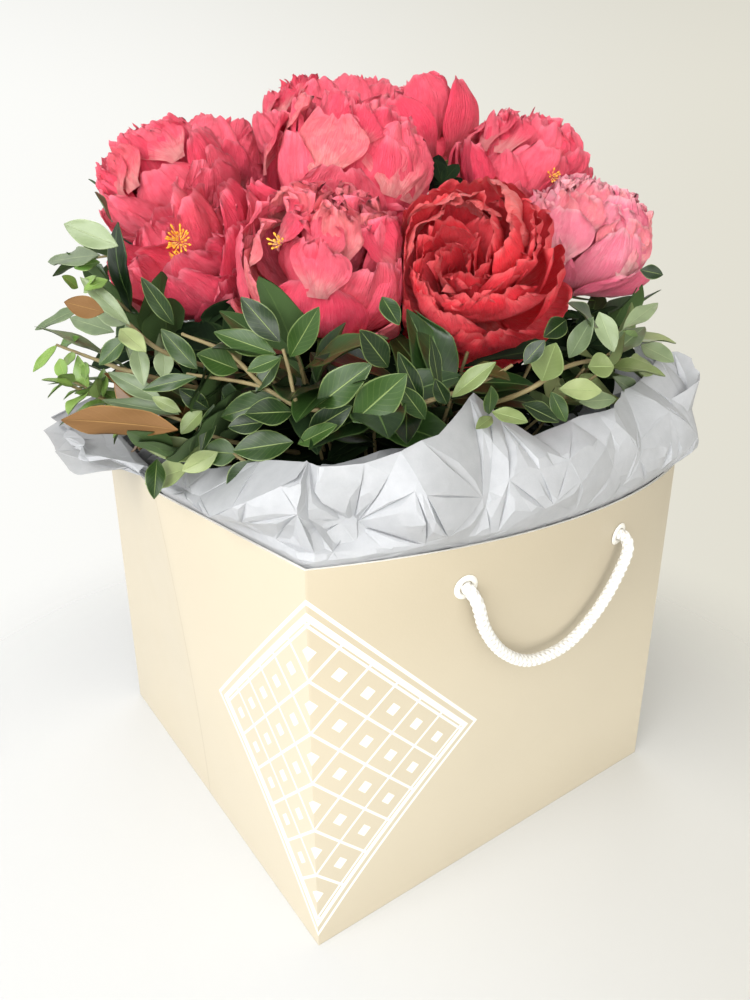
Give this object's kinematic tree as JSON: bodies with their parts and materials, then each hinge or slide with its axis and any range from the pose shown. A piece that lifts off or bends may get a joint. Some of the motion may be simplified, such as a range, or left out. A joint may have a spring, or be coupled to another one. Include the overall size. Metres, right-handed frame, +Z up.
{
  "type": "bunch of peonies",
  "caption": "Full round bunch of coral peonies with mixed evergreen twigs, standing on its cut stems in a cream paper carrier bag lined with white tissue.",
  "frame": {"origin": "middle of the underside of the carrier bag that the bunch stands in", "axes": "+Z up, -Y out of the bag's handled front face, +X to the right as seen from the front"},
  "size_m": [0.4512, 0.4456, 0.5205],
  "materials": {
    "bag": "satin coated paper, cream",
    "card": "plain grey-brown board",
    "eyelet": "off-white gloss",
    "rope": "knitted white cord",
    "twine": "natural twine",
    "tissue": "thin translucent tissue with fibres",
    "petal": "soft coral petal, paler at the base and edge",
    "petal_red": "soft red petal",
    "petal_pink": "soft pink petal",
    "stem": "satin green stem",
    "stamen": "powdery yellow",
    "leaf": "leathery dark green, waxy above",
    "leaf_light": "soft light green",
    "leaf_bronze": "velvety brown underside"
  },
  "bodies": {
    "root": {"bag": "bag", "base_card": "card", "binding_twine": "twine", "eyelet_back_left": "eyelet", "eyelet_back_right": "eyelet", "eyelet_front_left": "eyelet", "eyelet_front_right": "eyelet", "knot_back_left": "rope", "knot_back_right": "rope", "knot_front_left": "rope", "knot_front_right": "rope", "peony_01": "petal", "peony_02": "petal", "peony_03": "petal", "peony_04": "petal", "peony_05": "petal", "peony_06": "petal", "peony_07": "petal", "peony_08": "petal", "peony_09": "petal", "peony_10": "petal_red", "peony_11": "petal_pink", "peony_12": "petal", "peony_13": "petal", "rope_back": "rope", "rope_front": "rope", "spray_01": "leaf", "spray_02": "leaf", "spray_03": "leaf", "spray_04": "leaf_light", "spray_05": "leaf_light", "spray_06": "leaf", "spray_07": "leaf", "spray_08": "leaf", "spray_09": "leaf_light", "spray_10": "leaf", "spray_11": "leaf_light", "spray_12": "leaf_bronze", "spray_13": "leaf", "spray_14": "leaf", "spray_15": "leaf_light", "spray_16": "leaf", "stamens_01": "stamen", "stem_01": "stem", "stem_02": "stem", "stem_03": "stem", "stem_04": "stem", "stem_05": "stem", "stem_06": "stem", "stem_07": "stem", "stem_08": "stem", "stem_09": "stem", "stem_10": "stem", "stem_11": "stem", "stem_12": "stem", "stem_13": "stem", "tissue_front": "tissue", "tissue_left": "tissue", "tissue_right": "tissue"}
  },
  "joints": []
}
